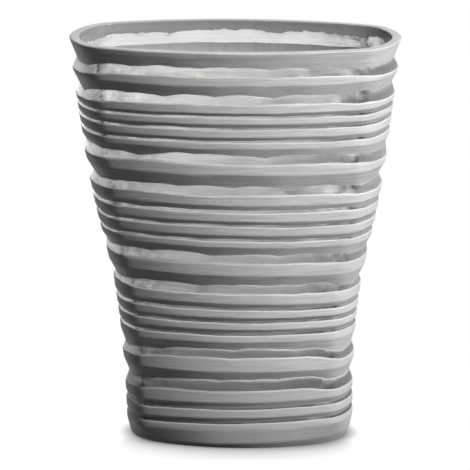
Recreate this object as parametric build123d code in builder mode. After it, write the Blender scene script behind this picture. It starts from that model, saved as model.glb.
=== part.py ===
# Urn vase: a clear glass vessel cased in smoke-grey glass, grooved all round. The lower slope of each groove is cut
# through to the clear glass, which leaves the casing as rings.
# Millimetres, Z up, origin at the middle of the base; X is the long way of the oval, Y the short way.
import math
import os

from build123d import *

os.makedirs("parts", exist_ok=True)

# Overall size, and the plan at the rim: bowed ends and bowed sides that meet in rounded corners. An end arc turns by
# END_TURN degrees each way from the X axis, a side arc by SIDE_TURN degrees each way from the Y axis.
HEIGHT = 296.5
RIM_WIDTH = 240.0
RIM_DEPTH = 144.0
CORNER_RADIUS = 30.0
END_TURN = 30.0
SIDE_TURN = 23.0

# The taper down to the foot: shares of the height, and at each the share of the way from foot width to rim width
FOOT_WIDTH = 165.5
TAPER_STATIONS = (0.0, 0.21, 0.40, 0.60, 0.80, 1.0)
TAPER_SHARES = (0.0, 0.05, 0.22, 0.57, 0.81, 1.0)

# The two layers of glass, the thick base, and the rounded corner where the floor inside meets the ends
CASING = 0.5
CLEAR_WALL = 6.7
BASE_THICKNESS = 13.0
FLOOR_RADIUS = 12.0

# How far the grooves and the bevels reach past the casing into the clear glass
WIDE_CUT_BITE = 2.7
NARROW_CUT_BITE = 1.5
RIM_BEVEL_BITE = 0.3
FOOT_BEVEL_BITE = 1.5

# Where the crease of a cut lies, as a share of the cut's height from its top
WIDE_CREASE = 0.46
NARROW_CREASE = 0.62

# Heights of the ground edges: the upright face of the rim, the bevel inside the mouth and the bevel at the foot
RIM_FACE = 2.7
MOUTH_BEVEL = 0.6
FOOT_BEVEL_HEIGHT = 5.0

# Marking-out from the rim down: each cut with its share of the marked height, and the band under it with its share
COURSES = (
    ("wide", 15.0, "broad_band_1", 5.5),
    ("wide", 14.5, "shoulder_band_1", 5.5),
    ("narrow", 4.0, "slim_band_1", 4.0),
    ("narrow", 4.5, "slim_band_2", 5.0),
    ("narrow", 4.5, "slim_band_3", 4.0),
    ("wide", 12.5, "broad_band_2", 7.0),
    ("wide", 15.5, "shoulder_band_2", 7.0),
    ("narrow", 6.0, "slim_band_4", 6.0),
    ("narrow", 4.5, "slim_band_5", 6.0),
    ("narrow", 5.0, "slim_band_6", 4.0),
    ("wide", 13.5, "broad_band_3", 8.0),
    ("wide", 15.0, "shoulder_band_3", 6.5),
    ("narrow", 5.5, "slim_band_7", 5.0),
    ("narrow", 4.5, "slim_band_8", 4.5),
    ("narrow", 5.0, "slim_band_9", 4.5),
    ("wide", 13.0, "broad_band_4", 9.5),
    ("wide", 15.5, "shoulder_band_4", 7.5),
    ("narrow", 6.0, "slim_band_10", 5.5),
    ("narrow", 5.0, "foot_band", 14.0),
)

# Sections that the rounded floor corner and the wall inside are lofted through
FLOOR_STEPS = 5
WALL_STEPS = 14

# What follows from the sizes above: wall, depths of the cuts and bevels, and the height of one share
WALL = CASING + CLEAR_WALL
CUT_DEPTH = {"wide": CASING + WIDE_CUT_BITE, "narrow": CASING + NARROW_CUT_BITE}
CREASE_SHARE = {"wide": WIDE_CREASE, "narrow": NARROW_CREASE}
RIM_BEVEL = CASING + RIM_BEVEL_BITE
FOOT_BEVEL_DEPTH = CASING + FOOT_BEVEL_BITE
MARKED_HEIGHT = HEIGHT - RIM_BEVEL - RIM_FACE - FOOT_BEVEL_HEIGHT
ONE_SHARE = MARKED_HEIGHT / sum(cut + band for _, cut, _, band in COURSES)

# The radii of the end and side arcs are those at which all three arcs of a quarter of the plan are tangent
END_SIN, END_REST = math.sin(math.radians(END_TURN)), 1 - math.cos(math.radians(END_TURN))
SIDE_SIN, SIDE_REST = math.sin(math.radians(SIDE_TURN)), 1 - math.cos(math.radians(SIDE_TURN))
CORNER_X, CORNER_Y = RIM_WIDTH / 2 - CORNER_RADIUS, RIM_DEPTH / 2 - CORNER_RADIUS
SPREAD = END_SIN * SIDE_SIN - END_REST * SIDE_REST
END_RADIUS = CORNER_RADIUS + (CORNER_Y * SIDE_SIN - CORNER_X * SIDE_REST) / SPREAD
SIDE_RADIUS = CORNER_RADIUS + (CORNER_X * END_SIN - CORNER_Y * END_REST) / SPREAD
END_CENTRE = RIM_WIDTH / 2 - END_RADIUS
SIDE_CENTRE = SIDE_RADIUS - RIM_DEPTH / 2
CORNER_CENTRE = ((SIDE_RADIUS - CORNER_RADIUS) * SIDE_SIN, (END_RADIUS - CORNER_RADIUS) * END_SIN)
CORNER_TURN = 90.0 - END_TURN - SIDE_TURN


def taper_share(share):
    """Smooth curve through the taper stations: the share of the rim width gained at a share of the height."""
    last = len(TAPER_STATIONS) - 1
    i = min(max(sum(station <= share for station in TAPER_STATIONS) - 1, 0), last - 1)
    slopes = []
    for k in (i, i + 1):
        before, after = max(k - 1, 0), min(k + 1, last)
        run = TAPER_STATIONS[after] - TAPER_STATIONS[before]
        slopes.append((TAPER_SHARES[after] - TAPER_SHARES[before]) / run)
    step = TAPER_STATIONS[i + 1] - TAPER_STATIONS[i]
    t = (share - TAPER_STATIONS[i]) / step
    return (
        (2 * t**3 - 3 * t**2 + 1) * TAPER_SHARES[i]
        + (t**3 - 2 * t**2 + t) * step * slopes[0]
        + (3 * t**2 - 2 * t**3) * TAPER_SHARES[i + 1]
        + (t**3 - t**2) * step * slopes[1]
    )


def oval_section(height, inset, draw_in=0.0):
    """The vase's outline at a height, drawn in at the ends in proportion, then moved in by an even inset."""
    share = min(max(height / HEIGHT, 0.0), 1.0)
    width = FOOT_WIDTH + (RIM_WIDTH - FOOT_WIDTH) * taper_share(share) - 2 * draw_in
    scale = width / RIM_WIDTH
    end, corner, side = (scale * radius - inset for radius in (END_RADIUS, CORNER_RADIUS, SIDE_RADIUS))
    end_x, side_y, corner_x, corner_y = (scale * c for c in (END_CENTRE, SIDE_CENTRE, *CORNER_CENTRE))
    with BuildSketch(Plane.XY.offset(height)) as section:
        with BuildLine():
            CenterArc((end_x, 0), end, -END_TURN, 2 * END_TURN)
            CenterArc((corner_x, corner_y), corner, END_TURN, CORNER_TURN)
            CenterArc((0, -side_y), side, 90.0 - SIDE_TURN, 2 * SIDE_TURN)
            CenterArc((-corner_x, corner_y), corner, 90.0 + SIDE_TURN, CORNER_TURN)
            CenterArc((-end_x, 0), end, 180.0 - END_TURN, 2 * END_TURN)
            CenterArc((-corner_x, -corner_y), corner, 180.0 + END_TURN, CORNER_TURN)
            CenterArc((0, side_y), side, 270.0 - SIDE_TURN, 2 * SIDE_TURN)
            CenterArc((corner_x, -corner_y), corner, 270.0 + SIDE_TURN, CORNER_TURN)
        make_face()
    return section.sketch


# Marking-out worked down the vase, in pairs of height and inset. A band has four corners from the top down: its joint
# on the clear slope above it, both edges of its upright face, and the crease below that its lower slope runs into. The
# vessel's outside follows under each band at the depth of the casing, and comes to the surface from crease to joint.
name, joint_top, face_top = "rim_band", HEIGHT - RIM_BEVEL_BITE, HEIGHT - RIM_BEVEL
face_bottom = face_top - RIM_FACE
bands = []
vessel_outside = [(HEIGHT, RIM_BEVEL), (joint_top, CASING)]
for kind, cut, next_name, band in COURSES:
    depth = CUT_DEPTH[kind]
    upper = ONE_SHARE * cut * CREASE_SHARE[kind]
    lower = ONE_SHARE * cut - upper
    crease = face_bottom - upper
    bands.append((name, [(joint_top, CASING), (face_top, 0.0), (face_bottom, 0.0), (crease, depth)]))
    vessel_outside.append((face_bottom, CASING))
    name, face_top = next_name, crease - lower
    joint_top = face_top + lower * CASING / depth
    face_bottom = face_top - ONE_SHARE * band
    vessel_outside += [(crease, depth), (joint_top, CASING)]
bands.append((name, [(joint_top, CASING), (face_top, 0.0), (face_bottom, 0.0), (0.0, FOOT_BEVEL_DEPTH)]))
vessel_outside += [(face_bottom, CASING), (0.0, FOOT_BEVEL_DEPTH)]

# The inside from the floor up, as height, inset and draw-in: a rounded corner, the wall, and the bevel at the mouth,
# carried on past the rim
vessel_inside = []
for k in range(FLOOR_STEPS + 1):
    turn = math.radians(90.0 * k / FLOOR_STEPS)
    rise, draw_in = FLOOR_RADIUS * (1 - math.cos(turn)), FLOOR_RADIUS * (1 - math.sin(turn))
    vessel_inside.append((BASE_THICKNESS + rise, WALL, draw_in))
wall_foot, wall_top = BASE_THICKNESS + FLOOR_RADIUS, HEIGHT - MOUTH_BEVEL
for k in range(1, WALL_STEPS + 1):
    vessel_inside.append((wall_foot + (wall_top - wall_foot) * k / WALL_STEPS, WALL, 0.0))
vessel_inside.append((HEIGHT + MOUTH_BEVEL, WALL - 2 * MOUTH_BEVEL, 0.0))

# Clear vessel: blown in one piece, with the clear slopes of the grooves in its outside
with BuildPart() as clear_vessel:
    loft([oval_section(*place) for place in reversed(vessel_outside)], ruled=True)
    loft([oval_section(*place) for place in vessel_inside], ruled=True, mode=Mode.SUBTRACT)
clear_vessel.part.label = "clear_vessel"
export_step(clear_vessel.part, "parts/clear_vessel.step")

# Smoke-grey bands: what the cuts leave of the casing, each lying on the vessel all round
for name, corners in bands:
    joint, _, face_foot, turned_in = corners
    bed = [turned_in, (face_foot[0], CASING), joint]
    with BuildPart() as grey_band:
        loft([oval_section(*place) for place in reversed(corners)], ruled=True)
        loft([oval_section(*place) for place in bed], ruled=True, mode=Mode.SUBTRACT)
    grey_band.part.label = name
    export_step(grey_band.part, f"parts/{name}.step")
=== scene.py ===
# Urn vase in cased, cut glass: a clear blown vessel in a thin smoke-grey casing, grooved all round. The lower
# slope of each groove goes through to the clear glass, which leaves the casing as twenty rings. Metres, in
# the solids' frame.
import math

import bpy
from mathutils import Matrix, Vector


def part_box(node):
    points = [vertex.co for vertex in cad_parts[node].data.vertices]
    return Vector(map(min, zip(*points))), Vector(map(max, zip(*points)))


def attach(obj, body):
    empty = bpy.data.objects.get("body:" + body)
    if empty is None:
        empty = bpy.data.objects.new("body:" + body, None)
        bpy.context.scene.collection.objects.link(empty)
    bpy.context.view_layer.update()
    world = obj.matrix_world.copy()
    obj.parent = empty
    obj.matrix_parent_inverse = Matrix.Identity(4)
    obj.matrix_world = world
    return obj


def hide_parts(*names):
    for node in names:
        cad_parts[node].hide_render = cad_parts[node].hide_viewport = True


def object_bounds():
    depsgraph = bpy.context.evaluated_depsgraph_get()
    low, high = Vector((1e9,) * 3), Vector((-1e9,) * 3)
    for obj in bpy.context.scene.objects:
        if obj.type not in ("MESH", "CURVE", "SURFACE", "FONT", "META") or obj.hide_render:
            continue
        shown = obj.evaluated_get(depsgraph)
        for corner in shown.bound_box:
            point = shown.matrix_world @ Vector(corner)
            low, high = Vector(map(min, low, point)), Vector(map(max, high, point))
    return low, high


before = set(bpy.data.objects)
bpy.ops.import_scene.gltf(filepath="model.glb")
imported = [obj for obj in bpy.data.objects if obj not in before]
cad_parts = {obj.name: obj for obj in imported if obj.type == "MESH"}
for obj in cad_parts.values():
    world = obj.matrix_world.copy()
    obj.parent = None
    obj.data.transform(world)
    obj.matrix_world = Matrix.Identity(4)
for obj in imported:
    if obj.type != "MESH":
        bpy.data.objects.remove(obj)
cad_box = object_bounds()

# Clear vessel: the heavy body of the vase, blown in clear glass inside a thin grey casing and grooved all
# round. The cutting wheel went through the casing on the lower slope of each groove, so the vessel shows
# there, at the ground rim and all over the inside.
RIM_WIDTH = 0.240
RIM_DEPTH = 0.144
RIM_CORNER_RADIUS = 0.030
FOOT_CORNER_RADIUS = 0.051
END_TURN = math.radians(30.0)
SIDE_TURN = math.radians(23.0)
HEIGHT = cad_box[1].z
FOOT_WIDTH = 2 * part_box("foot_band")[1].x
CASING = 0.0005
WALL = 0.0072
BASE_THICKNESS = 0.013
FLOOR_RADIUS = 0.012
RIM_BEVEL = 0.0008
RIM_UNDERCUT = 0.0007
MOUTH_BEVEL = 0.0006
FOOT_BATTER_HEIGHT = 0.0147
FOOT_BATTER = 0.0021
FOOT_BEVEL_HEIGHT = 0.0040
FOOT_BEVEL = 0.0052

# How far a surface is ground: left as blown, satined, or coarse from the wheel
AS_BLOWN = 0.0
SATINED = 0.5
COARSE = 1.0

# Plan, with fuller corners where the foot is ground round: the end and side arcs are those that meet the
# corner arc without a kink
end_sin, end_rest = math.sin(END_TURN), 1 - math.cos(END_TURN)
side_sin, side_rest = math.sin(SIDE_TURN), 1 - math.cos(SIDE_TURN)
spread = end_sin * side_sin - end_rest * side_rest
corner_turn = math.pi / 2 - END_TURN - SIDE_TURN


def plan_arcs(corner):
    """Radii and centres of the arcs in a quarter of the plan, at the rim's size, for a corner radius."""
    corner_x, corner_y = RIM_WIDTH / 2 - corner, RIM_DEPTH / 2 - corner
    end = corner + (corner_y * side_sin - corner_x * side_rest) / spread
    side = corner + (corner_x * end_sin - corner_y * end_rest) / spread
    return {
        "end radius": end,
        "corner radius": corner,
        "side radius": side,
        "end centre": (RIM_WIDTH / 2 - end, 0.0, 0.0),
        "corner centre": ((side - corner) * side_sin, (end - corner) * end_sin, 0.0),
        "side centre": (0.0, RIM_DEPTH / 2 - side, 0.0),
    }


plans = {
    "Rim": plan_arcs(RIM_CORNER_RADIUS),
    "Foot": plan_arcs(FOOT_CORNER_RADIUS * RIM_WIDTH / FOOT_WIDTH),
}

# Marking-out read from the solids, from the rim down: the upright face of each band, and the groove below it.
# A band's solid ends in the crease of that groove, and the next one starts where the casing comes to an edge
# on the clear slope. In the solids a groove has an even depth and its crease at a share of its height. The
# wide ones are those with the longer clear slope.
GROOVE_DEPTH = {"wide": 0.0032, "narrow": 0.0020}
DRAWN_CREASE = {"wide": 0.46, "narrow": 0.62}
WIDE_SLOPE = 0.005
band_names = sorted(set(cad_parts) - {"clear_vessel"}, key=lambda name: -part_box(name)[1].z)
face_tops = [HEIGHT - RIM_BEVEL]
face_bottoms = []
kinds = []
for above, below in zip(band_names, band_names[1:]):
    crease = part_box(above)[0].z
    clear_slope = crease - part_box(below)[1].z
    kind = "wide" if clear_slope > WIDE_SLOPE else "narrow"
    lower = clear_slope / (1 - CASING / GROOVE_DEPTH[kind])
    kinds.append(kind)
    face_tops.append(crease - lower)
    face_bottoms.append(crease + lower * DRAWN_CREASE[kind] / (1 - DRAWN_CREASE[kind]))
face_bottoms.append(FOOT_BATTER_HEIGHT)

# Taper: the outline's scale at each band, from the width of its solid
taper = [(HEIGHT, 1.0)]
for name, face_top in zip(band_names[1:], face_tops[1:]):
    taper.append((face_top, 2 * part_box(name)[1].x / RIM_WIDTH))


def at_height(stations, height):
    """A value at a height, straight between stations from the top down and carried on below the lowest."""
    for (above, top), (below, bottom) in zip(stations, stations[1:]):
        if height >= below:
            break
    return bottom + (top - bottom) * (height - below) / (above - below)


def row(
    height,
    inset,
    wander=0.0,
    scallop=0.0,
    end_drop=0.0,
    back_rise=0.0,
    reach=1.0,
    draw_in=0.0,
    slant=0.0,
    tilt=0.0,
    ground=SATINED,
):
    """One level of a profile: how high, how far in, how a hand-held cut strays, and how far it is ground."""
    scale = at_height(taper, height) - 2 * draw_in / RIM_WIDTH
    return (height, inset, wander, scallop, end_drop, back_rise, reach, scale, slant, tilt, ground)


def between(one, other, share):
    """A level part of the way from one level of a profile to another."""
    return tuple(a + (b - a) * share for a, b in zip(one, other))


def sunk_in(level, depth):
    """A level of a profile moved further in."""
    height, inset, *rest = level
    return (height, inset + depth, *rest)


def ground_as(level, ground):
    """A level of a profile that is ground in another way."""
    return (*level[:-1], ground)


# A softened corner turns between a level on each of its flats, and one more level beyond keeps each flat
# straight. Both lie at lengths of the softening from the corner, within shares of the flat.
TURN_LENGTHS = 1.0
TURN_SHARE = 0.25
HOLD_LENGTHS = 2.5
HOLD_SHARE = 0.45
CORNER_PULL = 0.4


def soften(before, corner, after, length):
    """A corner of a profile rounded off over a length to each side."""
    levels = []
    for other in (before, after):
        flat = math.dist(corner[:2], other[:2])
        hold = min(HOLD_SHARE, HOLD_LENGTHS * length / flat)
        turn = min(TURN_SHARE, TURN_LENGTHS * length / flat)
        levels.append((between(corner, other, hold), between(corner, other, turn)))
    (hold_in, near), (hold_out, far) = levels
    middle = between(between(near, far, 0.5), corner, CORNER_PULL)
    return [hold_in, near, middle, far, hold_out]


# How the cutter's hand strays: every line wanders up and down, the bands run out of level by a rise to the
# right that changes down the vase, and creases run in scallops where passes of the wheel meet. For the eight
# wide grooves, from the rim down: where the crease lies in the groove, how far the crease and the edge below
# it drop round the ends, and how far the crease is ground. The wheel keeps one slope in all of them, and the
# groove under the rim rises at the back.
OUT_OF_LEVEL = (
    (HEIGHT, 0.004),
    (0.240, 0.002),
    (0.220, -0.008),
    (0.115, -0.017),
    (0.080, 0.002),
    (0.058, 0.001),
    (0.024, 0.027),
    (0.0, 0.024),
)
UPPER_EDGE_WANDER = 0.0004
LOWER_EDGE_WANDER = {"wide": 0.0013, "narrow": 0.0006}
CREASE_SCALLOP = {"wide": 0.0045, "narrow": 0.0012}
WIDE_GROOVES = (
    (0.60, 0.0022, 0.0036, 0.7),
    (0.55, 0.0008, 0.0024, 0.7),
    (0.43, 0.0, 0.0026, 0.7),
    (0.61, 0.0, 0.0009, 0.7),
    (0.42, 0.0006, 0.0003, 0.75),
    (0.53, 0.0020, -0.0020, 0.75),
    (0.50, 0.0040, 0.0046, 0.98),
    (0.46, 0.0020, 0.0034, 0.98),
)
NARROW_CREASE_GROUND = 0.7
RIM_GROOVE_BACK_RISE = 0.0036
WHEEL_SLOPE = 0.455
wide_grooves = iter(WIDE_GROOVES)
grooves = []
for kind, face_bottom, face_top in zip(kinds, face_bottoms, face_tops[1:]):
    share, crease_drop, edge_drop, ground = DRAWN_CREASE[kind], 0.0, 0.0, NARROW_CREASE_GROUND
    if kind == "wide":
        share, crease_drop, edge_drop, ground = next(wide_grooves)
    crease_height = face_bottom - share * (face_bottom - face_top)
    upper_slope = face_bottom - crease_height
    depth = WHEEL_SLOPE * upper_slope if kind == "wide" else GROOVE_DEPTH[kind]
    undercut = 0.0 if grooves else RIM_UNDERCUT
    upper_tilt = at_height(OUT_OF_LEVEL, face_bottom)
    upper_edge = row(face_bottom, undercut, UPPER_EDGE_WANDER, tilt=upper_tilt)
    crease = row(
        crease_height,
        depth,
        wander=LOWER_EDGE_WANDER[kind],
        scallop=CREASE_SCALLOP[kind],
        end_drop=crease_drop,
        back_rise=0.0 if grooves else RIM_GROOVE_BACK_RISE,
        slant=(depth - undercut) / upper_slope,
        tilt=at_height(OUT_OF_LEVEL, crease_height),
        ground=ground,
    )
    lower_tilt = at_height(OUT_OF_LEVEL, face_top)
    lower_edge = row(face_top, 0.0, LOWER_EDGE_WANDER[kind], end_drop=edge_drop, tilt=lower_tilt)
    joint = between(lower_edge, crease, CASING / depth)
    grooves.append((upper_edge, crease, joint, lower_edge))

# Vessel's profile: base from the middle out, outside up, over the rim, inside down, and the floor to the
# middle. The clear slope stays satined for most of its way from the joint to the coarser crease.
EDGE_SOFT = 0.0005
CREASE_LINE = 0.72
BASE_RINGS = 4
WALL_STEPS = 24
FLOOR_STEPS = 6
base_edge = row(0.0, FOOT_BEVEL)
foot_tilt = at_height(OUT_OF_LEVEL, FOOT_BATTER_HEIGHT)
foot_waist = row(FOOT_BATTER_HEIGHT, 0.0, LOWER_EDGE_WANDER["narrow"], tilt=foot_tilt)
foot_edge = row(FOOT_BEVEL_HEIGHT, FOOT_BATTER, UPPER_EDGE_WANDER, tilt=foot_tilt)
under_foot = [sunk_in(edge, CASING) for edge in (foot_edge, foot_waist)]
vessel_rows = [row(0.0, FOOT_BEVEL + WALL, reach=ring / BASE_RINGS) for ring in range(BASE_RINGS + 1)]
vessel_rows += soften(vessel_rows[-1], base_edge, under_foot[0], EDGE_SOFT)
vessel_rows += under_foot
for upper_edge, crease, joint, _ in reversed(grooves):
    cut_glass = ground_as(between(joint, crease, CREASE_LINE), joint[-1])
    vessel_rows += [joint, cut_glass, crease, sunk_in(upper_edge, CASING)]
rim_joint = row(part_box("rim_band")[1].z, CASING)
rim_outer = row(HEIGHT, RIM_BEVEL, ground=COARSE)
rim_inner = row(HEIGHT, WALL - MOUTH_BEVEL, ground=COARSE)
mouth = row(HEIGHT - MOUTH_BEVEL, WALL, ground=AS_BLOWN)
wall_foot = row(BASE_THICKNESS + FLOOR_RADIUS, WALL, ground=AS_BLOWN)
vessel_rows.append(rim_joint)
vessel_rows += soften(rim_joint, rim_outer, rim_inner, EDGE_SOFT)
vessel_rows += soften(rim_outer, rim_inner, mouth, EDGE_SOFT)
vessel_rows += soften(rim_inner, mouth, wall_foot, EDGE_SOFT)
for step in range(1, WALL_STEPS):
    drop = (wall_foot[0] - mouth[0]) * step / WALL_STEPS
    vessel_rows.append(row(mouth[0] + drop, WALL, ground=AS_BLOWN))
for step in range(FLOOR_STEPS + 1):
    turn = math.pi / 2 * step / FLOOR_STEPS
    rise, draw_in = FLOOR_RADIUS * (1 - math.sin(turn)), FLOOR_RADIUS * (1 - math.cos(turn))
    vessel_rows.append(row(BASE_THICKNESS + rise, WALL, draw_in=draw_in, ground=AS_BLOWN))
for ring in reversed(range(BASE_RINGS)):
    middle = {"reach": ring / BASE_RINGS, "draw_in": FLOOR_RADIUS, "ground": AS_BLOWN}
    vessel_rows.append(row(BASE_THICKNESS, WALL, **middle))


def add_node(tree, kind, inputs=(), **settings):
    """A new node's outputs. Its inputs are given as values, or as the sockets that feed them."""
    node = tree.nodes.new(kind)
    for name, value in settings.items():
        setattr(node, name, value)
    for socket, value in dict(inputs).items():
        if isinstance(value, bpy.types.NodeSocket):
            tree.links.new(value, node.inputs[socket])
        else:
            node.inputs[socket].default_value = value
    return node.outputs


# Geometry Nodes tree that wraps a profile round the plan: columns evenly along the outline, and rows from the
# profile
wrap = bpy.data.node_groups.new("wrap_profile_round_plan", "GeometryNodeTree")
wrap.interface.new_socket("Geometry", in_out="OUTPUT", socket_type="NodeSocketGeometry")
wrap.interface.new_socket("Geometry", in_out="INPUT", socket_type="NodeSocketGeometry")
WRAP_SIZES = {
    "Columns": ("NodeSocketInt", 480),
    "end turn": ("NodeSocketFloat", END_TURN),
    "corner turn": ("NodeSocketFloat", corner_turn),
    "side turn": ("NodeSocketFloat", SIDE_TURN),
    "Wander spacing": ("NodeSocketVector", (0.055, 0.055, 0.016)),
    "Scallop spacing": ("NodeSocketVector", (0.028, 0.028, 0.009)),
    "Round below": ("NodeSocketFloat", FOOT_BATTER_HEIGHT),
    "Height": ("NodeSocketFloat", HEIGHT),
    "Half width": ("NodeSocketFloat", RIM_WIDTH / 2),
    "Back turn": ("NodeSocketFloat", RIM_DEPTH / 4),
    "Corner middle": ("NodeSocketFloat", math.radians(60.0)),
    "Corner spread": ("NodeSocketFloat", math.radians(22.0)),
    "Lean": ("NodeSocketFloat", 0.0036),
    "Merge": ("NodeSocketFloat", 0.000002),
    "Crisp from": ("NodeSocketFloat", math.radians(32.0)),
    "Glass": ("NodeSocketMaterial", None),
}
for plan, arcs in plans.items():
    for name, size in arcs.items():
        socket_type = "NodeSocketVector" if "centre" in name else "NodeSocketFloat"
        WRAP_SIZES[f"{plan} {name}"] = (socket_type, size)
for name, (socket_type, _) in WRAP_SIZES.items():
    wrap.interface.new_socket(name, in_out="INPUT", socket_type=socket_type)
given = add_node(wrap, "NodeGroupInput")
index = add_node(wrap, "GeometryNodeInputIndex")[0]
rows = add_node(wrap, "GeometryNodeAttributeDomainSize", {"Geometry": given["Geometry"]})["Point Count"]
level = add_node(wrap, "FunctionNodeIntegerMath", {0: index, 1: rows}, operation="FLOORED_MODULO")[0]
column = add_node(wrap, "FunctionNodeIntegerMath", {0: index, 1: rows}, operation="DIVIDE_FLOOR")[0]
column = {0: column, 1: given["Columns"]}
column = add_node(wrap, "FunctionNodeIntegerMath", column, operation="FLOORED_MODULO")[0]
round_share = add_node(wrap, "ShaderNodeMath", {0: column, 1: given["Columns"]}, operation="DIVIDE")[0]
quarters = add_node(wrap, "ShaderNodeMath", {0: round_share, 1: 4.0}, operation="MULTIPLY")[0]
quarter_share = add_node(wrap, "ShaderNodeMath", {0: quarters, 1: 1.0}, operation="PINGPONG")[0]

# Along a quarter of the outline: lengths of its three arcs, and the turn reached on each
arc_ends = [0.0]
for arc in ("end", "corner", "side"):
    length = {0: given[f"Rim {arc} radius"], 1: given[arc + " turn"], 2: arc_ends[-1]}
    arc_ends.append(add_node(wrap, "ShaderNodeMath", length, operation="MULTIPLY_ADD")[0])
travel = add_node(wrap, "ShaderNodeMath", {0: quarter_share, 1: arc_ends[-1]}, operation="MULTIPLY")[0]
turn = 0.0
on_arc = []
for arc, start, stop in zip(("end", "corner", "side"), arc_ends, arc_ends[1:]):
    span = {"Value": travel, "From Min": start, "From Max": stop, "To Max": given[arc + " turn"]}
    gained = add_node(wrap, "ShaderNodeMapRange", span)[0]
    turn = add_node(wrap, "ShaderNodeMath", {0: gained, 1: turn}, operation="ADD")[0]
    on_arc.append(add_node(wrap, "FunctionNodeCompare", {0: travel, 1: stop}, operation="LESS_THAN")[0])

# Each quarter mirrors the first, so the signs of both directions come from the way round
whole_turn = add_node(wrap, "ShaderNodeMath", {0: quarters, 1: math.pi / 2}, operation="MULTIPLY")[0]
sides = []
outward = []
for wave in ("COSINE", "SINE"):
    swing = add_node(wrap, "ShaderNodeMath", {0: whole_turn}, operation=wave)[0]
    sides.append(add_node(wrap, "ShaderNodeMath", {0: swing}, operation="SIGN")[0])
    outward.append(add_node(wrap, "ShaderNodeMath", {0: turn}, operation=wave)[0])
side = add_node(wrap, "ShaderNodeCombineXYZ", {0: sides[0], 1: sides[1]})[0]
outward = add_node(wrap, "ShaderNodeCombineXYZ", {0: outward[0], 1: outward[1]})[0]
ovals = []
for plan in plans:
    radius, centre = given[plan + " side radius"], given[plan + " side centre"]
    for arc, here in (("corner", on_arc[1]), ("end", on_arc[0])):
        choice = {"Switch": here, "False": radius, "True": given[f"{plan} {arc} radius"]}
        radius = add_node(wrap, "GeometryNodeSwitch", choice, input_type="FLOAT")[0]
        choice = {"Switch": here, "False": centre, "True": given[f"{plan} {arc} centre"]}
        centre = add_node(wrap, "GeometryNodeSwitch", choice, input_type="VECTOR")[0]
    arm = add_node(wrap, "ShaderNodeVectorMath", {0: outward, "Scale": radius}, operation="SCALE")[0]
    ovals.append(add_node(wrap, "ShaderNodeVectorMath", {0: arm, 1: centre}, operation="ADD")[0])

# Profile at this level: height and inset from its points, the rest from its attributes
place = add_node(wrap, "GeometryNodeInputPosition")[0]
fetch = {"Geometry": given["Geometry"], "Value": place, "Index": level}
place = add_node(wrap, "GeometryNodeSampleIndex", fetch, data_type="FLOAT_VECTOR")[0]
place = add_node(wrap, "ShaderNodeSeparateXYZ", {0: place})
ROW_VALUES = ("wander", "scallop", "end_drop", "back_rise", "reach", "scale", "slant", "tilt", "ground")
of_row = {}
for name in ROW_VALUES:
    stored = add_node(wrap, "GeometryNodeInputNamedAttribute", {"Name": name}, data_type="FLOAT")[0]
    fetch = {"Geometry": given["Geometry"], "Value": stored, "Index": level}
    of_row[name] = add_node(wrap, "GeometryNodeSampleIndex", fetch, data_type="FLOAT")[0]

# Steady shape: the plan between rim and foot scaled to the level, drawn in by the inset, and shrunk towards
# the middle on the floors
ground_round = {"Value": place["Z"], "From Max": given["Round below"], "To Min": 1.0, "To Max": 0.0}
ground_round = add_node(wrap, "ShaderNodeMapRange", ground_round)[0]
oval = {0: ground_round, 4: ovals[0], 5: ovals[1]}
oval = add_node(wrap, "ShaderNodeMix", oval, data_type="VECTOR")[1]
oval = add_node(wrap, "ShaderNodeVectorMath", {0: oval, "Scale": of_row["scale"]}, operation="SCALE")[0]
inset = add_node(wrap, "ShaderNodeVectorMath", {0: outward, "Scale": place["X"]}, operation="SCALE")[0]
flat = add_node(wrap, "ShaderNodeVectorMath", {0: oval, 1: inset}, operation="SUBTRACT")[0]
flat = add_node(wrap, "ShaderNodeVectorMath", {0: flat, 1: side}, operation="MULTIPLY")[0]
flat = add_node(wrap, "ShaderNodeVectorMath", {0: flat, "Scale": of_row["reach"]}, operation="SCALE")[0]
lift = add_node(wrap, "ShaderNodeCombineXYZ", {2: place["Z"]})[0]
steady = add_node(wrap, "ShaderNodeVectorMath", {0: flat, 1: lift}, operation="ADD")[0]

# Unsteady hand: a slow wander of every line, and the scallops of the creases where passes of the wheel meet.
# The noise keeps near its middle, so it is spread to fill the wander.
NOISE_SPREAD = 4.0
SCALLOP_MIDDLE = 0.3
spaced = {0: steady, 1: given["Wander spacing"]}
spaced = add_node(wrap, "ShaderNodeVectorMath", spaced, operation="DIVIDE")[0]
noise = {"Vector": spaced, "Scale": 1.0, "Detail": 4.0, "Roughness": 0.6}
noise = add_node(wrap, "ShaderNodeTexNoise", noise)[0]
noise = add_node(wrap, "ShaderNodeMath", {0: noise, 1: 0.5}, operation="SUBTRACT")[0]
wander = add_node(wrap, "ShaderNodeMath", {0: noise, 1: of_row["wander"]}, operation="MULTIPLY")[0]
wander = add_node(wrap, "ShaderNodeMath", {0: wander, 1: NOISE_SPREAD}, operation="MULTIPLY")[0]
spaced = {0: steady, 1: given["Scallop spacing"]}
spaced = add_node(wrap, "ShaderNodeVectorMath", spaced, operation="DIVIDE")[0]
passes = add_node(wrap, "ShaderNodeTexVoronoi", {"Vector": spaced, "Scale": 1.0})[0]
passes = add_node(wrap, "ShaderNodeMath", {0: passes, 1: 2.0}, operation="POWER")[0]
passes = add_node(wrap, "ShaderNodeMath", {0: SCALLOP_MIDDLE, 1: passes}, operation="SUBTRACT")[0]
scallop = add_node(wrap, "ShaderNodeMath", {0: passes, 1: of_row["scallop"]}, operation="MULTIPLY")[0]
sway = add_node(wrap, "ShaderNodeMath", {0: scallop, 1: wander}, operation="ADD")[0]
across, toward_back, _ = add_node(wrap, "ShaderNodeSeparateXYZ", {0: flat})
sway = {0: across, 1: of_row["tilt"], 2: sway}
sway = add_node(wrap, "ShaderNodeMath", sway, operation="MULTIPLY_ADD")[0]

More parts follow.
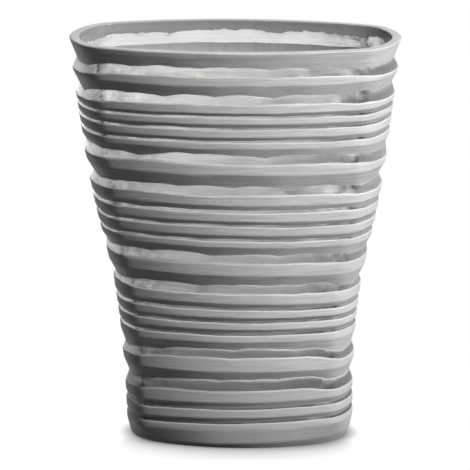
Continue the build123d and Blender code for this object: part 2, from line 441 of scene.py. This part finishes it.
# Round the ends a line drops in front, and at the back it rises instead
END_FROM = 0.6
at_end = add_node(wrap, "ShaderNodeMath", {0: across}, operation="ABSOLUTE")[0]
half = {0: given["Half width"], 1: of_row["scale"]}
half = add_node(wrap, "ShaderNodeMath", half, operation="MULTIPLY")[0]
start = add_node(wrap, "ShaderNodeMath", {0: half, 1: END_FROM}, operation="MULTIPLY")[0]
at_end = {"Value": at_end, "From Min": start, "From Max": half, "To Max": -1.0}
at_end = add_node(wrap, "ShaderNodeMapRange", at_end, interpolation_type="SMOOTHSTEP")[0]
drop = add_node(wrap, "ShaderNodeMath", {0: at_end, 1: of_row["end_drop"]}, operation="MULTIPLY")[0]
turned = {"Value": toward_back, "From Max": given["Back turn"]}
turned = add_node(wrap, "ShaderNodeMapRange", turned, interpolation_type="SMOOTHSTEP")[0]
stray = {"Value": turned, "To Min": drop, "To Max": of_row["back_rise"]}
stray = add_node(wrap, "ShaderNodeMapRange", stray)[0]
sway = add_node(wrap, "ShaderNodeMath", {0: sway, 1: stray}, operation="ADD")[0]

# The blown vase leans in a slight curve, balanced about its middle, and a scallop keeps to the slope that it
# is cut in
LEAN_MIDDLE = 1 / 3
sunk = {"Value": place["Z"], "From Max": given["Height"], "To Min": 1.0, "To Max": 0.0}
sunk = add_node(wrap, "ShaderNodeMapRange", sunk)[0]
lean = add_node(wrap, "ShaderNodeMath", {0: sunk, 1: sunk, 2: -LEAN_MIDDLE}, operation="MULTIPLY_ADD")[0]
lean = add_node(wrap, "ShaderNodeMath", {0: lean, 1: given["Lean"]}, operation="MULTIPLY")[0]
sway = add_node(wrap, "ShaderNodeCombineXYZ", {0: lean, 2: sway})[0]
final = add_node(wrap, "ShaderNodeVectorMath", {0: steady, 1: sway}, operation="ADD")[0]
along_slope = {0: scallop, 1: of_row["slant"]}
along_slope = add_node(wrap, "ShaderNodeMath", along_slope, operation="MULTIPLY")[0]
along_slope = {0: outward, "Scale": along_slope}
along_slope = add_node(wrap, "ShaderNodeVectorMath", along_slope, operation="SCALE")[0]
along_slope = {0: along_slope, 1: side, 2: final}
final = add_node(wrap, "ShaderNodeVectorMath", along_slope, operation="MULTIPLY_ADD")[0]

# How near a tight corner. There the grooves carry dark specks, partly casing left where the wheel was hard to
# bring to bear and partly painted shade, which at the back on the right stands for the shaded inside. The
# corner at the back on the left gets none.
away = {0: turn, 1: given["Corner middle"]}
away = add_node(wrap, "ShaderNodeMath", away, operation="SUBTRACT")[0]
away = add_node(wrap, "ShaderNodeMath", {0: away}, operation="ABSOLUTE")[0]
unmarked_back_left = add_node(wrap, "FunctionNodeCompare", {0: across, 1: 0.0}, operation="LESS_THAN")[0]
unmarked_back_left = add_node(wrap, "ShaderNodeMath", {0: unmarked_back_left, 1: turned}, operation="MULTIPLY")[0]
speck_and_shade_at_back = add_node(wrap, "ShaderNodeMath", {0: 1.0, 1: unmarked_back_left}, operation="SUBTRACT")[0]
speck_and_shade_at_corner = {"Value": away, "From Max": given["Corner spread"], "To Min": speck_and_shade_at_back, "To Max": 0.0}
speck_and_shade_at_corner = add_node(wrap, "ShaderNodeMapRange", speck_and_shade_at_corner, interpolation_type="SMOOTHSTEP")[0]

# Sheet of columns and rows set in shape, closed at its seam and at the middle, and smooth but for its crisp
# edges
sheet_columns = {0: given["Columns"], 1: 1}
sheet_columns = add_node(wrap, "FunctionNodeIntegerMath", sheet_columns, operation="ADD")[0]
sheet = {"Vertices X": sheet_columns, "Vertices Y": rows}
sheet = add_node(wrap, "GeometryNodeMeshGrid", sheet)["Mesh"]
sheet = add_node(wrap, "GeometryNodeSetPosition", {"Geometry": sheet, "Position": final})[0]
for name, value in (("ground", of_row["ground"]), ("corner", speck_and_shade_at_corner)):
    kept = {"Geometry": sheet, "Name": name, "Value": value}
    sheet = add_node(wrap, "GeometryNodeStoreNamedAttribute", kept, data_type="FLOAT", domain="POINT")[0]
sheet = add_node(wrap, "GeometryNodeMergeByDistance", {"Geometry": sheet, "Distance": given["Merge"]})[0]
sheet = add_node(wrap, "GeometryNodeSetShadeSmooth", {"Geometry": sheet})[0]
bend = add_node(wrap, "GeometryNodeInputMeshEdgeAngle")["Unsigned Angle"]
crisp = {0: bend, 1: given["Crisp from"]}
crisp = add_node(wrap, "FunctionNodeCompare", crisp, operation="GREATER_THAN")[0]
crisp = {"Geometry": sheet, "Selection": crisp, "Shade Smooth": False}
sheet = add_node(wrap, "GeometryNodeSetShadeSmooth", crisp, domain="EDGE")[0]
sheet = add_node(wrap, "GeometryNodeRealizeInstances", {"Geometry": sheet})[0]
sheet = add_node(wrap, "GeometryNodeSetMaterial", {"Geometry": sheet, "Material": given["Glass"]})[0]
add_node(wrap, "NodeGroupOutput", {"Geometry": sheet})


def wrapped_piece(name, profile_rows, glass):
    """A profile wrapped round the plan as a plain closed mesh: its ends meet, or both reach the middle."""
    profile = bpy.data.meshes.new(name + "_profile")
    points = [(inset, 0.0, height) for height, inset, *_ in profile_rows]
    profile.from_pydata(points, [(i, i + 1) for i in range(len(points) - 1)], [])
    for place, attribute in enumerate(ROW_VALUES, start=2):
        values = profile.attributes.new(attribute, "FLOAT", "POINT").data
        values.foreach_set("value", [level[place] for level in profile_rows])
    drawn = bpy.data.objects.new(name + "_profile", profile)
    bpy.context.scene.collection.objects.link(drawn)
    modifier = drawn.modifiers.new("wrap", "NODES")
    modifier.node_group = wrap
    for item in wrap.interface.items_tree:
        if item.in_out == "INPUT" and item.name in WRAP_SIZES:
            modifier[item.identifier] = glass if item.name == "Glass" else WRAP_SIZES[item.name][1]
    graph = bpy.context.evaluated_depsgraph_get()
    mesh = bpy.data.meshes.new_from_object(drawn.evaluated_get(graph))
    bpy.data.objects.remove(drawn)
    mesh.name = name
    piece = bpy.data.objects.new(name, mesh)
    bpy.context.scene.collection.objects.link(piece)
    return piece


def linear(hex_colour):
    """An sRGB hex colour as the linear values that shaders take."""
    channels = [int(hex_colour[i : i + 2], 16) / 255 for i in (1, 3, 5)]
    return [c / 12.92 if c <= 0.04045 else ((c + 0.055) / 1.055) ** 2.4 for c in channels] + [1.0]


def stretched_noise(tree, coords, round_spacing, up_spacing, detail, roughness=0.5):
    """Noise in a material's tree with one spacing round the vase and another up it."""
    spacing = (1 / round_spacing, 1 / round_spacing, 1 / up_spacing)
    place = add_node(tree, "ShaderNodeMapping", {"Vector": coords, "Scale": spacing})[0]
    noise = {"Vector": place, "Scale": 1.0, "Detail": detail, "Roughness": roughness}
    return add_node(tree, "ShaderNodeTexNoise", noise)[0]


# Clear soda glass, wheel-cut and acid-satined: lets light through but blurs what lies behind, and is duller
# and mottled where it is coarse. Marks run the way the wheel ran, drawn coarser than real ones so that they
# show.
CLEAR = "#F4F4F4"
STREAKED = "#D4D4D3"
MOTTLED = "#B4B4B3"
# Dark specks at the corners: partly casing left by the wheel, partly painted shade
CASING_SPECK_AND_SHADE = "#242423"
GLASS_IOR = 1.5
BLOWN_ROUGHNESS = 0.03
SATIN_ROUGHNESS = 0.44
COARSE_ROUGHNESS = 0.55
COARSE_CLEARNESS = 0.3
FROST = 0.08
FROST_HEIGHTS = (0.080, 0.105)
WHEEL_MARK_RUN = 0.030
WHEEL_MARK_PITCH = 0.0009
WHEEL_MARK_DEPTH = 0.0002
STREAK_RANGE = (0.35, 0.65)
MOTTLE_PITCH = 0.0016
MOTTLE_RANGE = (0.4, 0.75)
CASING_SPECK_AND_SHADE_PITCH = 0.007
CASING_SPECK_AND_SHADE_RANGE = (0.3, 0.55)
BARE_FROM = 0.75
clear_glass = bpy.data.materials.new("satin_clear_glass")
clear_glass.use_nodes = True
tree = clear_glass.node_tree
tree.nodes.clear()
coords = add_node(tree, "ShaderNodeTexCoord")["Object"]
height = add_node(tree, "ShaderNodeSeparateXYZ", {0: coords})["Z"]
ground = add_node(tree, "ShaderNodeAttribute", attribute_name="ground")["Fac"]
cut = add_node(tree, "ShaderNodeMapRange", {"Value": ground, "From Max": SATINED})[0]
coarse = add_node(tree, "ShaderNodeMapRange", {"Value": ground, "From Min": SATINED})[0]
marks = stretched_noise(tree, coords, WHEEL_MARK_RUN, WHEEL_MARK_PITCH, detail=3.0)
bump = {"Height": marks, "Strength": ground, "Distance": WHEEL_MARK_DEPTH}
bump = add_node(tree, "ShaderNodeBump", bump)[0]
streaky = {"Value": marks, "From Min": STREAK_RANGE[0], "From Max": STREAK_RANGE[1]}
streaky = add_node(tree, "ShaderNodeMapRange", streaky)[0]

# Roughness steps from the blown inside to the satined slopes, and on to the coarse creases and rim
roughness = {"Value": ground, "From Max": SATINED, "To Min": BLOWN_ROUGHNESS, "To Max": SATIN_ROUGHNESS}
roughness = add_node(tree, "ShaderNodeMapRange", roughness)[0]
coarser = {"Value": ground, "From Min": SATINED, "To Max": COARSE_ROUGHNESS - SATIN_ROUGHNESS}
coarser = add_node(tree, "ShaderNodeMapRange", coarser)[0]
roughness = add_node(tree, "ShaderNodeMath", {0: roughness, 1: coarser}, operation="ADD")[0]

# Clearness is lost where the glass is coarse, and in streaks of frost on the slopes above the thick foot
clearness = {"Value": ground, "From Min": SATINED, "To Min": 1.0, "To Max": COARSE_CLEARNESS}
clearness = add_node(tree, "ShaderNodeMapRange", clearness)[0]
frost = {"Value": height, "From Min": FROST_HEIGHTS[0], "From Max": FROST_HEIGHTS[1], "To Max": FROST}
frost = add_node(tree, "ShaderNodeMapRange", frost)[0]
frost = add_node(tree, "ShaderNodeMath", {0: frost, 1: streaky}, operation="MULTIPLY")[0]
frost = add_node(tree, "ShaderNodeMath", {0: frost, 1: cut}, operation="MULTIPLY")[0]
clearness = {0: clearness, 1: frost}
clearness = add_node(tree, "ShaderNodeMath", clearness, operation="SUBTRACT", use_clamp=True)[0]

# Colour: mottled where coarse, streaked on every cut, with dark specks in the grooves at the corners but none
# on
# the rim: partly casing left by the wheel, partly painted shade that at the back on the right stands for the
# shaded inside. A colour mix takes its share on socket 0 and its colours on sockets 6 and 7.
mottle = {"Vector": coords, "Scale": 1 / MOTTLE_PITCH, "Detail": 3.0, "Roughness": 0.6}
mottle = add_node(tree, "ShaderNodeTexNoise", mottle)[0]
mottle = {"Value": mottle, "From Min": MOTTLE_RANGE[0], "From Max": MOTTLE_RANGE[1], "To Max": coarse}
mottle = add_node(tree, "ShaderNodeMapRange", mottle)[0]
colour = {0: mottle, 6: linear(CLEAR), 7: linear(MOTTLED)}
colour = add_node(tree, "ShaderNodeMix", colour, data_type="RGBA")[2]
streaky = add_node(tree, "ShaderNodeMath", {0: streaky, 1: cut}, operation="MULTIPLY")[0]
colour = {0: streaky, 6: colour, 7: linear(STREAKED)}
colour = add_node(tree, "ShaderNodeMix", colour, data_type="RGBA")[2]
# The corner attribute carries the dark specks: partly casing left, partly painted shade
corner = add_node(tree, "ShaderNodeAttribute", attribute_name="corner")["Fac"]
speck_and_shade = {"Vector": coords, "Scale": 1 / CASING_SPECK_AND_SHADE_PITCH, "Detail": 2.0}
speck_and_shade = add_node(tree, "ShaderNodeTexNoise", speck_and_shade)[0]
speck_and_shade = {"Value": speck_and_shade, "From Min": CASING_SPECK_AND_SHADE_RANGE[0], "From Max": CASING_SPECK_AND_SHADE_RANGE[1], "To Max": corner}
speck_and_shade = add_node(tree, "ShaderNodeMapRange", speck_and_shade)[0]
groove = {"Value": ground, "From Min": BARE_FROM, "To Min": cut, "To Max": 0.0}
groove = add_node(tree, "ShaderNodeMapRange", groove)[0]
speck_and_shade = add_node(tree, "ShaderNodeMath", {0: speck_and_shade, 1: groove}, operation="MULTIPLY")[0]
colour = {0: speck_and_shade, 6: colour, 7: linear(CASING_SPECK_AND_SHADE)}
colour = add_node(tree, "ShaderNodeMix", colour, data_type="RGBA")[2]
glass_inputs = {
    "Base Color": colour,
    "Roughness": roughness,
    "IOR": GLASS_IOR,
    "Transmission Weight": clearness,
    "Normal": bump,
}
glass = add_node(tree, "ShaderNodeBsdfPrincipled", glass_inputs)[0]

# Lamp light goes through the clear glass to what lies behind it
lamp_ray = add_node(tree, "ShaderNodeLightPath")["Is Shadow Ray"]
see_through = add_node(tree, "ShaderNodeBsdfTransparent", {"Color": linear(CLEAR)})[0]
surface = add_node(tree, "ShaderNodeMixShader", {0: lamp_ray, 1: glass, 2: see_through})[0]
add_node(tree, "ShaderNodeOutputMaterial", {"Surface": surface})

vessel = wrapped_piece("cut_vessel", vessel_rows, clear_glass)
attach(vessel, "root")
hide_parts("clear_vessel")

# Smoke-grey bands: the rings of casing that the cuts leave, half a millimetre thick and fused to the vessel
# all round. Each has an upright face and a wheel-cut slope below it, which ends in the crease of the groove.

# Smoke-grey soda glass, wheel-ground and acid-satined: close to opaque and nearly matt, streaked the way the
# wheel ran, and darker towards the foot in painted shade. The fused side shows through the clear vessel:
# painted shade at foot and rim and painted light between, with runs down the wall. Marks and streaks are
# drawn coarser than real ones so that they show.
SMOKE_PALE = "#E2E2E1"
SMOKE_DEEP = "#B2B2B0"
# Painted shade: the smoke darkens towards the foot
SMOKE_FOOT_PAINTED_SHADE = "#A4A4A2"
FOOT_SHADE_SHARE = 0.4
# Fused side: painted shade at the foot and rim, painted light on the wall between; the foot's colour also
# tints the runs
FUSED_FOOT_SHADE_AND_RUNS = "#5E5E5C"
FUSED_WALL_PAINTED_LIGHT = "#E8E8E6"
FUSED_RIM_PAINTED_SHADE = "#747473"
FOOT_SHADE_HEIGHTS = (0.045, 0.075)
RIM_SHADE_HEIGHTS = (0.200, 0.286)
SMOKE_STREAK_RUN = 0.028
SMOKE_STREAK_PITCH = 0.0011
SMOKE_STREAK_RANGE = (0.3, 0.7)
RUN_LENGTH = 0.15
RUN_PITCH = 0.004
RUN_RANGE = (0.45, 0.75)
RUN_SHARE = 0.4
SMOKE_ROUGHNESS = 0.5
SMOKE_SPECULAR = 0.2
SMOKE_CLEARNESS = 0.1
SMOKE_MARKS = 0.4
smoke_glass = bpy.data.materials.new("satin_smoke_glass")
smoke_glass.use_nodes = True
tree = smoke_glass.node_tree
tree.nodes.clear()
coords = add_node(tree, "ShaderNodeTexCoord")["Object"]
height = add_node(tree, "ShaderNodeSeparateXYZ", {0: coords})["Z"]
above_foot_shade = {"Value": height, "From Min": FOOT_SHADE_HEIGHTS[0], "From Max": FOOT_SHADE_HEIGHTS[1]}
above_foot_shade = add_node(tree, "ShaderNodeMapRange", above_foot_shade)[0]
rim_shade = {"Value": height, "From Min": RIM_SHADE_HEIGHTS[0], "From Max": RIM_SHADE_HEIGHTS[1]}
rim_shade = add_node(tree, "ShaderNodeMapRange", rim_shade)[0]

# Outside: satin streaks, and painted shade that darkens it towards the foot
streaks = stretched_noise(tree, coords, SMOKE_STREAK_RUN, SMOKE_STREAK_PITCH, detail=6.0, roughness=0.75)
streaks = {"Value": streaks, "From Min": SMOKE_STREAK_RANGE[0], "From Max": SMOKE_STREAK_RANGE[1]}
streaks = add_node(tree, "ShaderNodeMapRange", streaks)[0]
satin = {0: streaks, 6: linear(SMOKE_PALE), 7: linear(SMOKE_DEEP)}
satin = add_node(tree, "ShaderNodeMix", satin, data_type="RGBA")[2]
foot_shade = add_node(tree, "ShaderNodeMapRange", {"Value": above_foot_shade, "To Min": FOOT_SHADE_SHARE, "To Max": 0.0})[0]
satin = {0: foot_shade, 6: satin, 7: linear(SMOKE_FOOT_PAINTED_SHADE)}
satin = add_node(tree, "ShaderNodeMix", satin, data_type="RGBA")[2]

# Fused side: painted shade at the foot and rim, painted light on the wall between, with the runs
fused_painted_light = {0: above_foot_shade, 6: linear(FUSED_FOOT_SHADE_AND_RUNS), 7: linear(FUSED_WALL_PAINTED_LIGHT)}
fused_painted_light = add_node(tree, "ShaderNodeMix", fused_painted_light, data_type="RGBA")[2]
fused_painted_light = {0: rim_shade, 6: fused_painted_light, 7: linear(FUSED_RIM_PAINTED_SHADE)}
fused_painted_light = add_node(tree, "ShaderNodeMix", fused_painted_light, data_type="RGBA")[2]
runs = stretched_noise(tree, coords, RUN_PITCH, RUN_LENGTH, detail=4.0)
runs = {"Value": runs, "From Min": RUN_RANGE[0], "From Max": RUN_RANGE[1], "To Max": RUN_SHARE}
runs = add_node(tree, "ShaderNodeMapRange", runs)[0]
fused_painted_light = {0: runs, 6: fused_painted_light, 7: linear(FUSED_FOOT_SHADE_AND_RUNS)}
fused_painted_light = add_node(tree, "ShaderNodeMix", fused_painted_light, data_type="RGBA")[2]
ground = add_node(tree, "ShaderNodeAttribute", attribute_name="ground")["Fac"]
outside = add_node(tree, "ShaderNodeMapRange", {"Value": ground, "From Max": SATINED})[0]
smoke = {0: outside, 6: fused_painted_light, 7: satin}
smoke = add_node(tree, "ShaderNodeMix", smoke, data_type="RGBA")[2]
marks = stretched_noise(tree, coords, WHEEL_MARK_RUN, WHEEL_MARK_PITCH, detail=3.0)
bump = {"Height": marks, "Strength": SMOKE_MARKS, "Distance": WHEEL_MARK_DEPTH}
bump = add_node(tree, "ShaderNodeBump", bump)[0]
glass_inputs = {
    "Base Color": smoke,
    "Roughness": SMOKE_ROUGHNESS,
    "IOR": GLASS_IOR,
    "Specular IOR Level": SMOKE_SPECULAR,
    "Transmission Weight": SMOKE_CLEARNESS,
    "Normal": bump,
}
glass = add_node(tree, "ShaderNodeBsdfPrincipled", glass_inputs)[0]
add_node(tree, "ShaderNodeOutputMaterial", {"Surface": glass})

# Each band's profile: up its outside, over the joint, and down the fused bed, which is let into the vessel so
# that no gap shows. The bed's colour starts at a thin lip beside each edge.
SEAT = 0.0002
FUSED_LIP = 0.03
FOOT_SOFT = 0.0008
rim_edge = row(face_tops[0], 0.0)
tops = [(rim_joint, rim_edge)] + [(joint, lower_edge) for _, _, joint, lower_edge in grooves]
feet = [(upper_edge, crease) for upper_edge, crease, _, _ in grooves] + [(foot_waist, foot_edge, base_edge)]
for name, (joint, face_top), below in zip(band_names, tops, feet):
    corners = [joint, face_top, *below]
    bed = [ground_as(sunk_in(edge, CASING + SEAT), AS_BLOWN) for edge in below[:-1]]
    top_lip = ground_as(between(joint, bed[0], FUSED_LIP), AS_BLOWN)
    foot_lip = ground_as(between(corners[-1], bed[-1], FUSED_LIP), AS_BLOWN)
    softness = FOOT_SOFT if name == "foot_band" else EDGE_SOFT
    band_rows = [corners[-1]]
    for above, corner, under in reversed(list(zip(corners, corners[1:], corners[2:]))):
        band_rows += soften(under, corner, above, softness)
    band_rows += [joint, top_lip, *bed, foot_lip, corners[-1]]
    band = wrapped_piece("cut_" + name, band_rows, smoke_glass)
    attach(band, "root")
    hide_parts(name)

# Floor and light: a white paper sweep under the vase, one large soft light high on the right, and a dim room
# with a faint glow from behind on the left.
FLOOR_REACH = 6.0
floor_mesh = bpy.data.meshes.new("floor")
floor_corners = [(x * FLOOR_REACH, y * FLOOR_REACH, 0.0) for x, y in ((-1, -1), (1, -1), (1, 1), (-1, 1))]
floor_mesh.from_pydata(floor_corners, [], [(0, 1, 2, 3)])
floor = bpy.data.objects.new("floor", floor_mesh)
bpy.context.scene.collection.objects.link(floor)


def shows_background(tree):
    """1 for the rays that show the background, straight or by way of glass, and 0 after a matt bounce."""
    ray = add_node(tree, "ShaderNodeLightPath")
    seen = ray["Is Camera Ray"]
    for way in ("Is Glossy Ray", "Is Transmission Ray"):
        seen = add_node(tree, "ShaderNodeMath", {0: seen, 1: ray[way]}, operation="MAXIMUM")[0]
    return add_node(tree, "ShaderNodeMath", {0: seen, 1: ray["Diffuse Depth"]}, operation="GREATER_THAN")[0]


# Matt white paper: pure white to the eye but for the soft shadow where the vase stands, which reaches further
# in front than at the ends, and dim in the light that it throws back
FLOOR_BOUNCE = "#404040"
SHADOW_IN_FRONT = 0.034
SHADOW_AT_ENDS = 0.009
SHADOW_TURNS = (-0.070, -0.018)
paper = bpy.data.materials.new("white_paper_sweep")
paper.use_nodes = True
tree = paper.node_tree
tree.nodes.clear()
coords = add_node(tree, "ShaderNodeTexCoord")["Object"]
to_back = add_node(tree, "ShaderNodeSeparateXYZ", {0: coords})["Y"]
reach = {
    "Value": to_back,
    "From Min": SHADOW_TURNS[0],
    "From Max": SHADOW_TURNS[1],
    "To Min": SHADOW_IN_FRONT,
    "To Max": SHADOW_AT_ENDS,
}
reach = add_node(tree, "ShaderNodeMapRange", reach)[0]
contact = add_node(tree, "ShaderNodeAmbientOcclusion", {"Distance": reach})["Color"]
bright = add_node(tree, "ShaderNodeEmission", {"Color": contact, "Strength": 1.0})[0]
dim = add_node(tree, "ShaderNodeBsdfDiffuse", {"Color": linear(FLOOR_BOUNCE)})[0]
surface = add_node(tree, "ShaderNodeMixShader", {0: shows_background(tree), 1: dim, 2: bright})[0]
add_node(tree, "ShaderNodeOutputMaterial", {"Surface": surface})
floor_mesh.materials.append(paper)

# Room: white to the eye, and on the vase a dim light that grows towards the glow
ROOM_WHITE = "#FFFFFF"
ROOM_LEVEL = 0.01
GLOW_LEVEL = 0.15
GLOW_WAY = (-0.8, 0.6, 0.0)
world = bpy.data.worlds.new("studio")
bpy.context.scene.world = world
world.use_nodes = True
tree = world.node_tree
tree.nodes.clear()
way = add_node(tree, "ShaderNodeTexCoord")["Generated"]
glow = add_node(tree, "ShaderNodeVectorMath", {0: way, 1: GLOW_WAY}, operation="DOT_PRODUCT")["Value"]
glow = add_node(tree, "ShaderNodeMapRange", {"Value": glow, "To Min": ROOM_LEVEL, "To Max": GLOW_LEVEL})[0]
strength = {"Value": shows_background(tree), "To Min": glow, "To Max": 1.0}
strength = add_node(tree, "ShaderNodeMapRange", strength)[0]
sky = add_node(tree, "ShaderNodeBackground", {"Color": linear(ROOM_WHITE), "Strength": strength})[0]
add_node(tree, "ShaderNodeOutputWorld", {"Surface": sky})

# Key light: a square softbox turned towards the middle of the vase
KEY_PLACE = (1.131, -0.789, 1.074)
KEY_AIM = Vector((0.0, 0.0, 0.15))
KEY_SIZE = 0.5
KEY_POWER = 42.0
softbox = bpy.data.lights.new("key_softbox", "AREA")
softbox.size = KEY_SIZE
softbox.energy = KEY_POWER
key_light = bpy.data.objects.new("key_softbox", softbox)
bpy.context.scene.collection.objects.link(key_light)
key_light.location = KEY_PLACE
key_light.rotation_euler = (KEY_AIM - key_light.location).to_track_quat("-Z", "Y").to_euler()

# Camera: a long lens, a little to the right of the front and above the rim. Its focal length and its shift
# are in pixels of the square picture.
CAMERA_REACH = 2.806
CAMERA_HEIGHT = 0.7945
CAMERA_TURN = math.radians(3.0)
CAMERA_TILT = math.radians(12.96)
CAMERA_FAR_LIMIT = 50.0
SENSOR = 36.0
IMAGE_SIDE = 470
FOCAL_PIXELS = 3943.0
FRAME_SHIFT = -2.0
view = bpy.data.cameras.new("photo_view")
view.sensor_width = SENSOR
view.sensor_fit = "HORIZONTAL"
view.lens = SENSOR * FOCAL_PIXELS / IMAGE_SIDE
view.shift_x = FRAME_SHIFT / IMAGE_SIDE
view.clip_end = CAMERA_FAR_LIMIT
camera = bpy.data.objects.new("photo_view", view)
bpy.context.scene.collection.objects.link(camera)
camera.location = (
    CAMERA_REACH * math.sin(CAMERA_TURN),
    -CAMERA_REACH * math.cos(CAMERA_TURN),
    CAMERA_HEIGHT,
)
camera.rotation_euler = (math.pi / 2 - CAMERA_TILT, 0.0, CAMERA_TURN)
bpy.context.scene.camera = camera
bpy.context.scene.view_settings.view_transform = "Standard"
